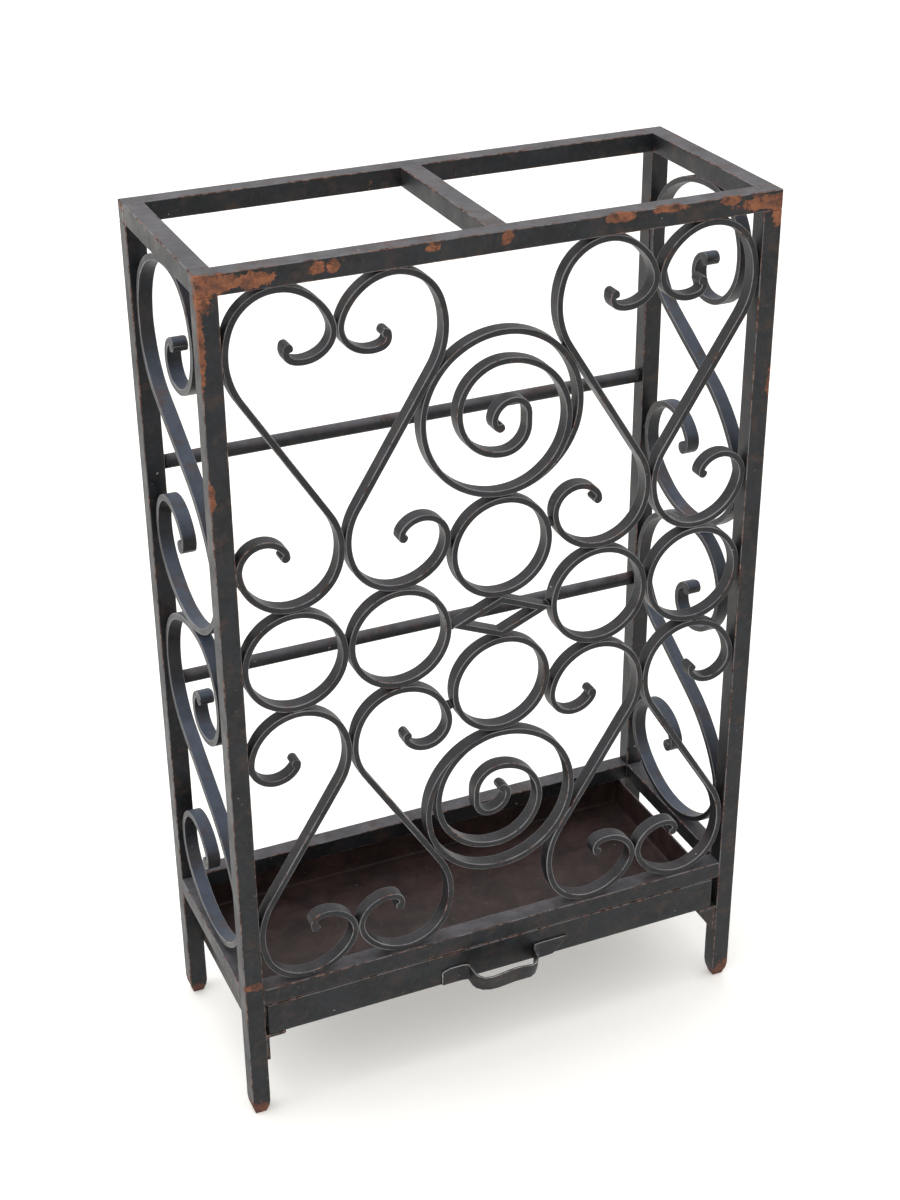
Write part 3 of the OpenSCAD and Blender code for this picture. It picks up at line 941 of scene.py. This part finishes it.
def group(name, inputs, outputs):
    """An empty node group: inputs are (name, kind, value) and outputs (name, kind)."""
    tree = bpy.data.node_groups.new(name, "ShaderNodeTree")
    for label, kind, value in inputs:
        socket = tree.interface.new_socket(label, in_out="INPUT", socket_type="NodeSocket" + kind)
        socket.default_value = value
    for label, kind in outputs:
        tree.interface.new_socket(label, in_out="OUTPUT", socket_type="NodeSocket" + kind)
    return tree, tree.nodes.new("NodeGroupInput"), tree.nodes.new("NodeGroupOutput")


def place_of(tree):
    """Where a point is, in the stand's own space."""
    return add(tree, "TexCoord").outputs["Object"]


def use(tree, made_group, inputs):
    """A node group at work in a material, with this material's own values."""
    return add(tree, "Group", inputs, node_tree=made_group)


def math_node(tree, operation, a, b=0.0, c=0.0):
    return add(tree, "Math", {0: a, 1: b, 2: c}, operation=operation).outputs[0]


def times(tree, a, b):
    return math_node(tree, "MULTIPLY", a, b)


def plus_share(tree, a, share, b):
    """b with a share of a added to it."""
    return math_node(tree, "MULTIPLY_ADD", a, share, b)


def ramp(tree, value, low, high, out_low=0.0, out_high=1.0):
    """A smooth step from low to high."""
    inputs = {"Value": value, "From Min": low, "From Max": high, "To Min": out_low, "To Max": out_high}
    return add(tree, "MapRange", inputs, interpolation_type="SMOOTHSTEP").outputs["Result"]


def blend_colour(tree, mask, a, b):
    """Colour a where the mask is 0, colour b where it is 1."""
    return add(tree, "Mix", {0: mask, 6: a, 7: b}, data_type="RGBA").outputs[2]


def noise_at(tree, where, scale, detail=3.0, rough=0.55, distortion=0.0):
    inputs = {"Vector": where, "Scale": scale, "Detail": detail, "Roughness": rough, "Distortion": distortion}
    return add(tree, "TexNoise", inputs).outputs["Fac"]


# %% [markdown]
# ## Worn arrises, with a painted highlight
# Paint goes first where hands and umbrellas rub: on the edges. The slices wrote a number called arris
# into every mesh, 1 on the rounded edge and 0 on the flats. The group breaks that band up with noise and
# gives two masks: a thin light line, which is partly rubbed paint and partly a painted highlight of the sky
# on the rounded edge, and ragged chips that reach further in and come only here and there.

# %% Arris group
def make_arris_wear_and_highlight():
    t, gin, gout = group(
        "arris wear",
        [("Rubbed", "Float", 0.5), ("Chipped", "Float", 0.4), ("Chip scale", "Float", 45.0)],
        [("Rub mask", "Float"), ("Chip mask", "Float")],
    )
    where = place_of(t)
    edge = add(t, "Attribute", attribute_name="arris").outputs["Fac"]
    fine = noise_at(t, where, 420.0, 2.0)
    slow = noise_at(t, where, 16.0, 2.0)
    chip = noise_at(t, where, gin.outputs["Chip scale"], 4.0, 0.65)
    # The rub mask is partly rubbed paint and partly a painted highlight of the sky along the rounded edge.
    rub_and_highlight_level = plus_share(t, fine, 0.5, edge)
    rub_and_highlight_level = plus_share(t, slow, 0.9, rub_and_highlight_level)
    rub_and_highlight_mask = ramp(t, rub_and_highlight_level, 1.25, 1.75)
    t.links.new(times(t, rub_and_highlight_mask, gin.outputs["Rubbed"]), gout.inputs["Rub mask"])
    chip_level = plus_share(t, edge, 0.28, chip)
    chip_level = plus_share(t, fine, 0.10, chip_level)
    need = plus_share(t, gin.outputs["Chipped"], -0.35, 1.05)
    chip_over = math_node(t, "SUBTRACT", chip_level, need)
    t.links.new(ramp(t, chip_over, 0.0, 0.018), gout.inputs["Chip mask"])
    return t


arris_wear_and_highlight = make_arris_wear_and_highlight()

# %% [markdown]
# ## Rust in chosen places
# The worst rust sits where paint was knocked or burnt off: at the front corners of the top frame, round
# welds, on the feet. A spot is an ellipsoid in the stand's own space with a ragged edge. One group does
# one spot; a material chains as many as it needs, and each returns how deep inside the spot a point is.

# %% Spot group
def make_rust_spot():
    t, gin, gout = group(
        "rust spot",
        [("Where", "Vector", (0, 0, 0)), ("Middle", "Vector", (0, 0, 0)),
         ("Reach", "Vector", (0.01, 0.01, 0.01)),
         ("Ragged", "Float", 0.5), ("Noise", "Float", 0.5), ("Before", "Float", 0.0)],
        [("Depth", "Float")],
    )
    offset = add(t, "VectorMath", {0: gin.outputs["Where"], 1: gin.outputs["Middle"]}, operation="SUBTRACT")
    share = add(t, "VectorMath", {0: offset.outputs[0], 1: gin.outputs["Reach"]}, operation="DIVIDE")
    far = add(t, "VectorMath", {0: share.outputs[0]}, operation="LENGTH").outputs["Value"]
    swing = math_node(t, "SUBTRACT", gin.outputs["Noise"], 0.5)
    depth = math_node(t, "SUBTRACT", 1.0, plus_share(t, swing, gin.outputs["Ragged"], far))
    t.links.new(math_node(t, "MAXIMUM", depth, gin.outputs["Before"]), gout.inputs["Depth"])
    return t


rust_spot = make_rust_spot()

# %% [markdown]
# ## Specks, dust and a painted sheen
# Small pale specks of lime and grit are scattered all over, a few to a hand's breadth. A Voronoi texture
# gives one dot to a cell, and each cell's own random number says whether its dot is there at all.
# Dust and rubbing lighten whatever faces up, and that lightening is partly a painted sheen of the bright sky
# on those faces. The surface normal's height tells that, with noise over it.

# %% Speck group, and the dust and sheen group
def make_specks():
    t, gin, gout = group(
        "specks",
        [("Scale", "Float", 70.0), ("Size", "Float", 0.09), ("Share", "Float", 0.12)],
        [("Mask", "Float")],
    )
    where = place_of(t)
    bent = add(t, "TexNoise", {"Vector": where, "Scale": 260.0, "Detail": 2.0})
    shift = add(t, "VectorMath", {0: bent.outputs["Color"], "Scale": 0.006}, operation="SCALE")
    moved = add(t, "VectorMath", {0: where, 1: shift.outputs[0]}, operation="ADD").outputs[0]
    cell = add(t, "TexVoronoi", {"Vector": moved, "Scale": gin.outputs["Scale"], "Randomness": 1.0})
    parts = add(t, "SeparateColor", {"Color": cell.outputs["Color"]})
    size = times(t, parts.outputs["Green"], gin.outputs["Size"])
    near = math_node(t, "LESS_THAN", cell.outputs["Distance"], size)
    crowd = ramp(t, noise_at(t, where, 22.0, 3.0), 0.42, 0.62, 0.15, 1.6)
    chosen = math_node(t, "LESS_THAN", parts.outputs["Red"], times(t, gin.outputs["Share"], crowd))
    faint = plus_share(t, parts.outputs["Blue"], 0.75, 0.25)
    t.links.new(times(t, times(t, near, chosen), faint), gout.inputs["Mask"])
    return t


specks = make_specks()


def make_dust_and_sheen():
    t, gin, gout = group(
        "dust",
        [("Amount", "Float", 0.5), ("Patchy", "Float", 0.5)],
        [("Mask", "Float")],
    )
    where = place_of(t)
    # What faces up gets lighter: dust, and partly a painted sheen of the sky above.
    up = add(t, "SeparateXYZ", {"Vector": add(t, "NewGeometry").outputs["Normal"]}).outputs["Z"]
    facing = ramp(t, up, 0.15, 0.95)
    patch = noise_at(t, where, 55.0, 5.0, 0.6)
    patch = ramp(t, patch, 0.25, 0.75)
    kept = times(t, gin.outputs["Patchy"], math_node(t, "SUBTRACT", 1.0, patch))
    level = times(t, facing, math_node(t, "SUBTRACT", 1.0, kept))
    t.links.new(times(t, level, gin.outputs["Amount"]), gout.inputs["Mask"])
    return t


dust = make_dust_and_sheen()

# %% [markdown]
# ## The colour and skin of rust
# Rust is never one colour: orange where it is fresh, brown and nearly black where it is old, with fine
# grain. The group mixes the three and gives a height as well, so that rust stands rough beside the paint.

# %% Rust group
RUST_FRESH = (0.245, 0.092, 0.045, 1)
RUST_OLD = (0.095, 0.042, 0.029, 1)
RUST_DARK = (0.024, 0.016, 0.014, 1)


def make_rust_look():
    t, gin, gout = group(
        "rust look",
        [("Fresh", "Float", 0.5), ("Depth", "Float", 0.5), ("Blotched", "Float", 0.7)],
        [("Color", "Color"), ("Height", "Float")],
    )
    where = place_of(t)
    coarse = noise_at(t, where, 110.0, 4.0, 0.65)
    grain = noise_at(t, where, 700.0, 3.0, 0.7)
    both = plus_share(t, grain, 0.35, coarse)
    both = math_node(t, "ADD", both, times(t, gin.outputs["Fresh"], 0.35))
    warm = ramp(t, both, 0.66, 1.02)
    colour = blend_colour(t, warm, RUST_OLD, RUST_FRESH)
    rim = ramp(t, gin.outputs["Depth"], 0.0, 0.10, 1.0, 0.0)
    blot = ramp(t, noise_at(t, where, 85.0, 5.0, 0.7, 0.5), 0.52, 0.64)
    blot = times(t, blot, gin.outputs["Blotched"])
    darkest = math_node(t, "MAXIMUM", times(t, rim, 0.7), blot)
    colour = blend_colour(t, darkest, colour, RUST_DARK)
    t.links.new(colour, gout.inputs["Color"])
    t.links.new(plus_share(t, grain, 0.5, coarse), gout.inputs["Height"])
    return t


rust_look = make_rust_look()
print("node groups", len(bpy.data.node_groups))

# %% [markdown]
# ## Black paint on iron
# One function makes every finish of the stand, because all of it was painted from the same pot and has
# aged in the same ways, only more or less. Each finish states its own colours and how far each kind of
# wear has gone. The Principled shader stays here in the material; the groups only feed it.

# %% Paint
IRON_DARK = (0.0062, 0.0070, 0.0082, 1)
IRON_LIGHT = (0.0185, 0.0200, 0.0235, 1)
# What faces up: a dust grey, also lightened as a painted sheen of the bright sky.
DUST_AND_SKY_SHEEN = (0.128, 0.122, 0.136, 1)
# Rubbed arrises: worn grey paint, made lighter as a painted highlight of the sky on the rounded edge.
RUB_GREY_AND_HIGHLIGHT = (0.230, 0.225, 0.235, 1)
PALE = (0.42, 0.39, 0.36, 1)
GRIT = (0.20, 0.16, 0.14, 1)
BROWNED = (0.040, 0.026, 0.021, 1)
RUSTY_DUST = (0.105, 0.066, 0.058, 1)
CHIP_PALE = (0.185, 0.120, 0.100, 1)
# Roughness: the paint from glossy to dull, what dust adds, and bare rust.
GLOSSY, DULL, DUST_DULLS, RUST_ROUGH = 0.34, 0.52, 0.18, 0.82
PAINT_IOR = 1.32
# Rust is fresher high up, where it is dry, than near the wet floor.
RUST_LOW, RUST_HIGH, LOW_FRESHNESS = 0.10, 0.74, 0.15
SPOT_RAGGED = 2.3
GRIT_LOOK = {"Scale": 210.0, "Size": 0.20}
GRIT_SHARE, GRIT_SEEN, SPECK_SEEN = 0.8, 0.55, 0.75


def old_paint(name, wear, light=IRON_LIGHT, dust_and_sheen_colour=DUST_AND_SKY_SHEEN, rub_and_highlight=RUB_GREY_AND_HIGHLIGHT, spots=(), inner=None, fresh=0.5):
    """wear is a dict with brown, dust, patchy, rubbed, chipped, rust, specks: how far each has gone; the
    up-facing tint is partly a painted sky sheen, the light edge line partly a painted highlight.
    """
    m = bpy.data.materials.new(name)
    m.use_nodes = True
    t = m.node_tree
    t.nodes.clear()
    where = place_of(t)

    # The paint itself: dark and a little lighter in clouds and brush marks, browned in places.
    cloud = noise_at(t, where, 28.0, 6.0, 0.62)
    brushed = noise_at(t, where, 190.0, 3.0, 0.6)
    tone = plus_share(t, brushed, 0.4, times(t, cloud, 0.8))
    colour = blend_colour(t, ramp(t, tone, 0.40, 0.80), IRON_DARK, light)
    brown = noise_at(t, where, 62.0, 6.0, 0.7, 0.4)
    colour = blend_colour(t, ramp(t, brown, 0.48, 0.70, 0.0, wear["brown"]), colour, BROWNED)
    if inner:
        inside = add(t, "Attribute", attribute_name="inside").outputs["Fac"]
        stain = noise_at(t, where, 34.0, 7.0, 0.68, 0.6)
        stained_floor = blend_colour(t, ramp(t, stain, 0.30, 0.72), inner[0], inner[1])
        colour = blend_colour(t, ramp(t, inside, 0.25, 0.6), colour, stained_floor)

    # Dust on what faces up, with rusty stains in it. Its lighter tint is partly a painted sheen of the sky
    # on those faces, and on the side scrolls a painted blue reflection.
    dust_and_sheen_mask = use(t, dust, {"Amount": wear["dust"], "Patchy": wear["patchy"]}).outputs["Mask"]
    stained = ramp(t, noise_at(t, where, 44.0, 6.0, 0.72, 0.5), 0.50, 0.66, 0.0, 0.75)
    colour = blend_colour(t, dust_and_sheen_mask, colour, blend_colour(t, stained, dust_and_sheen_colour, RUSTY_DUST))

    # Rubbed arrises, lighter in part as a painted highlight, then rust: thinly scattered, and deep in the
    # chosen spots.
    edges = use(t, arris_wear_and_highlight, {"Rubbed": wear["rub_and_highlight"], "Chipped": wear["chipped"]})
    colour = blend_colour(t, edges.outputs["Rub mask"], colour, rub_and_highlight)
    ragged = noise_at(t, where, 130.0, 5.0, 0.7)
    depth = ramp(t, ragged, 1.0 - 0.5 * wear["rust"], 1.08 - 0.5 * wear["rust"], 0.0, 0.2)
    for middle, reach in spots:
        spot = use(t, rust_spot, {"Where": where, "Middle": middle, "Reach": reach, "Ragged": SPOT_RAGGED,
                                  "Noise": ragged, "Before": depth})
        depth = spot.outputs["Depth"]
    spot_mask = ramp(t, depth, 0.0, 0.03)
    bare = math_node(t, "MAXIMUM", spot_mask, edges.outputs["Chip mask"])
    height_up = add(t, "SeparateXYZ", {"Vector": where}).outputs["Z"]
    freshness = ramp(t, height_up, RUST_LOW, RUST_HIGH, LOW_FRESHNESS * fresh, fresh)
    look = use(t, rust_look, {"Fresh": freshness, "Depth": math_node(t, "MAXIMUM", depth, 0.0)})
    chipped = blend_colour(t, ramp(t, brushed, 0.42, 0.62), look.outputs["Color"], CHIP_PALE)
    colour = blend_colour(t, edges.outputs["Chip mask"], colour, chipped)
    colour = blend_colour(t, spot_mask, colour, look.outputs["Color"])

    # Specks of lime and finer grit on top of everything.
    dots = use(t, specks, {"Share": wear["specks"]}).outputs["Mask"]
    grit = use(t, specks, {**GRIT_LOOK, "Share": wear["specks"] * GRIT_SHARE}).outputs["Mask"]
    colour = blend_colour(t, times(t, grit, GRIT_SEEN), colour, GRIT)
    colour = blend_colour(t, times(t, dots, SPECK_SEEN), colour, PALE)

    # Sheen and relief.
    shine = ramp(t, cloud, 0.3, 0.7, GLOSSY, DULL)
    shine = plus_share(t, dust_and_sheen_mask, DUST_DULLS, shine)
    shine = math_node(t, "MAXIMUM", shine, times(t, bare, RUST_ROUGH))
    height = plus_share(t, brushed, 0.35, times(t, cloud, 0.8))
    pitted = plus_share(t, look.outputs["Height"], 0.7, -0.55)
    height = plus_share(t, bare, pitted, height)
    height = plus_share(t, dots, 0.35, height)
    bump = add(t, "Bump", {"Height": height, "Strength": 0.55, "Distance": 0.0006})
    shader = add(t, "BsdfPrincipled", {"Base Color": colour, "Roughness": shine,
                                       "Normal": bump.outputs["Normal"], "IOR": PAINT_IOR})
    out = add(t, "OutputMaterial", {"Surface": shader.outputs[0]})
    out.is_active_output = True
    return m


# %% [markdown]
# ## The stand's own finishes
# Frame, scrollwork, welds, pull, runners and tray each get the paint with their own amount of wear.
# The rust spots are placed from the frame's corners: the front corners of the top frame are bare and
# orange, a row of small ovals follows the top front rail, and every foot is rusty.

# %% Spots
corner_x, face_y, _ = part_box("top_rail_front")[0]
back_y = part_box("post_back_left")[1].y
FOOT_SPOT = (0.017, 0.017, 0.014)
FOOT_SPOT_Z = 0.003


def on_face(x, z, wide, high, deep=6):
    """A spot on the front face, x from the left corner and z from the floor, in millimetres."""
    return ((corner_x + x * MM, face_y, z * MM), (wide * MM, deep * MM, high * MM))


frame_spots = [
    on_face(14, 753, 26, 7, 9), on_face(3, 744, 8, 13, 8), on_face(0, 712, 4, 40, 4), on_face(44, 752, 15, 6),
    on_face(456, 752, 26, 6, 9), on_face(469, 742, 7, 12, 8), on_face(90, 754, 6, 5), on_face(101, 754, 6, 5),
    on_face(178, 756, 6, 4), on_face(236, 755, 5, 5), on_face(330, 757, 12, 4), on_face(372, 758, 14, 3),
    on_face(424, 757, 10, 4), on_face(0, 590, 4, 14, 4), on_face(8, 139, 9, 4), on_face(470, 600, 4, 12, 4),
]
for x in (2, 468):
    for y in (face_y, back_y):
        frame_spots.append(((corner_x + x * MM, y, FOOT_SPOT_Z), FOOT_SPOT))

# %% Finishes
# The side scrolls' colour for what faces up is a painted blue reflection of the sky.
BLUE_SKY_SHEEN = (0.088, 0.108, 0.150, 1)
# The pull's edge line: worn paint made much lighter as a painted highlight where the bent strip catches the
# light.
BRIGHT_RUB_HIGHLIGHT = (0.42, 0.42, 0.43, 1)
RUNNER_LIGHT = (0.05, 0.042, 0.038, 1)
TRAY_DUST = (0.10, 0.085, 0.085, 1)
TRAY_INSIDE = ((0.017, 0.0095, 0.0095, 1), (0.052, 0.030, 0.027, 1))

frame_paint = old_paint(
    "frame paint",
    dict(rub_and_highlight=0.55, chipped=0.75, dust=0.8, patchy=0.6, specks=0.30, rust=0.62, brown=0.85),
    spots=frame_spots)
scroll_paint = old_paint(
    "scroll paint",
    dict(rub_and_highlight=0.8, chipped=0.40, dust=0.25, patchy=0.6, specks=0.28, rust=0.56, brown=0.6))
# The side scrolls: their up-facing faces carry a painted blue sky reflection.
side_paint = old_paint(
    "side scroll paint",
    dict(rub_and_highlight=0.7, chipped=0.35, dust=0.7, patchy=0.4, specks=0.28, rust=0.50, brown=0.4),
    dust_and_sheen_colour=BLUE_SKY_SHEEN)
weld_paint = old_paint(
    "weld paint",
    dict(rub_and_highlight=0.0, chipped=0.3, dust=0.3, patchy=0.6, specks=0.6, rust=0.62, brown=0.9))
# The pull: its light edges are partly a painted highlight.
pull_paint = old_paint(
    "pull paint",
    dict(rub_and_highlight=0.95, chipped=0.6, dust=0.3, patchy=0.6, specks=0.4, rust=0.55, brown=0.9),
    rub_and_highlight=BRIGHT_RUB_HIGHLIGHT)
runner_paint = old_paint(
    "runner paint",
    dict(rub_and_highlight=0.6, chipped=0.8, dust=0.2, patchy=0.6, specks=0.4, rust=0.72, brown=1.0),
    light=RUNNER_LIGHT, fresh=0.2)
tray_paint = old_paint(
    "tray paint",
    dict(rub_and_highlight=0.5, chipped=0.6, dust=0.12, patchy=0.8, specks=0.45, rust=0.60, brown=0.8),
    dust_and_sheen_colour=TRAY_DUST, inner=TRAY_INSIDE, fresh=0.25)

# The first start that fits a piece's name tells its paint; the square bars and rods get the frame's.
PAINT_OF = [("side_scroll", side_paint), ("welds", weld_paint), ("tray_pull", pull_paint)]
PAINT_OF += [("tray_pan", tray_paint), ("runner", runner_paint)]
PAINT_OF += [(start, scroll_paint) for start in ("scroll", "ring", "spiral", "diamond")]
for piece in made:
    paints = [paint for start, paint in PAINT_OF if piece.name.startswith(start)]
    piece.data.materials.append(paints[0] if paints else frame_paint)
print("materials", len(bpy.data.materials))

# %% [markdown]
# ## Floor, light and camera
# The stand is seen on a plain pale floor under soft light that comes from all round, a bit more from
# above and from the left. Iron is mostly mirror, so the look of it depends on what it reflects: a bright
# floor and a bright sky dome do most of the work, and the area lights only lead the eye.

# %% Floor
FLOOR_HALF = 6.0
FLOOR_TONES = ((0.93, 0.92, 0.90, 1), (0.95, 0.94, 0.92, 1))
# The floor's glow is painted light, no lamp: it lifts the shadows on the floor to a warm pale grey.
FLOOR_GLOW = (1.0, 0.965, 0.90, 1)
FLOOR_GLOWS = 0.22


def pale_paper():
    """Matt paper with a painted glow, no lamp, that lightens the shadows on it to a warm pale grey and lights
    the stand faintly from below.
    """
    m = bpy.data.materials.new("pale floor")
    m.use_nodes = True
    t = m.node_tree
    shader = t.nodes["Principled BSDF"]
    mottle = noise_at(t, place_of(t), 3.0, 4.0)
    t.links.new(blend_colour(t, mottle, *FLOOR_TONES), shader.inputs["Base Color"])
    shader.inputs["Roughness"].default_value = 0.9
    shader.inputs["Emission Color"].default_value = FLOOR_GLOW
    shader.inputs["Emission Strength"].default_value = FLOOR_GLOWS
    shader.inputs["Specular IOR Level"].default_value = 0.2
    return m


floor_mesh = bpy.data.meshes.new("studio_floor")
floor_corners = [(x * FLOOR_HALF, y * FLOOR_HALF, 0) for x, y in ((-1, -1), (1, -1), (1, 1), (-1, 1))]
floor_mesh.from_pydata(floor_corners, [], [(0, 1, 2, 3)])
floor = link("studio_floor", floor_mesh)
floor_mesh.materials.append(pale_paper())

# %% Light
SKY_COLOUR = (1.0, 1.0, 0.99, 1)
SKY_STRENGTH = 1.06
world = bpy.data.worlds.new("soft room")
bpy.context.scene.world = world
world.use_nodes = True
sky = world.node_tree.nodes["Background"]
sky.inputs["Color"].default_value = SKY_COLOUR
sky.inputs["Strength"].default_value = SKY_STRENGTH


def soft_light(name, place, aim, size, watts, colour=(1, 1, 1)):
    lamp = bpy.data.lights.new(name, "AREA")
    lamp.shape = "DISK"
    lamp.size = size
    lamp.energy = watts
    lamp.color = colour
    holder = link(name, lamp)
    holder.location = place
    holder.rotation_euler = (Vector(aim) - Vector(place)).to_track_quat("-Z", "Y").to_euler()


stand_middle = ((cad_low + cad_high) / 2)[:]
soft_light("overhead", (-0.5, 0.4, 3.2), stand_middle, 2.8, 26.0)
soft_light("left window", (-3.0, 0.4, 1.9), stand_middle, 1.8, 16.0, (0.92, 0.96, 1.0))

# %% Camera
EYE = Vector((-0.6059, -1.3666, 1.2321))
AIM = Vector((-0.0112, -0.0025, 0.4176))
ROLL = math.radians(-0.48)
lens = bpy.data.cameras.new("camera")
lens.sensor_fit = "AUTO"
lens.sensor_width = 36.0
lens.lens = 60.96
lens.clip_start, lens.clip_end = 0.05, 50.0
camera = link("camera", lens)
camera.location = EYE
camera.rotation_mode = "QUATERNION"
camera.rotation_quaternion = (AIM - EYE).to_track_quat("-Z", "Y") @ Quaternion((0, 0, 1), ROLL)
bpy.context.scene.camera = camera
bpy.context.scene.view_settings.view_transform = "Standard"
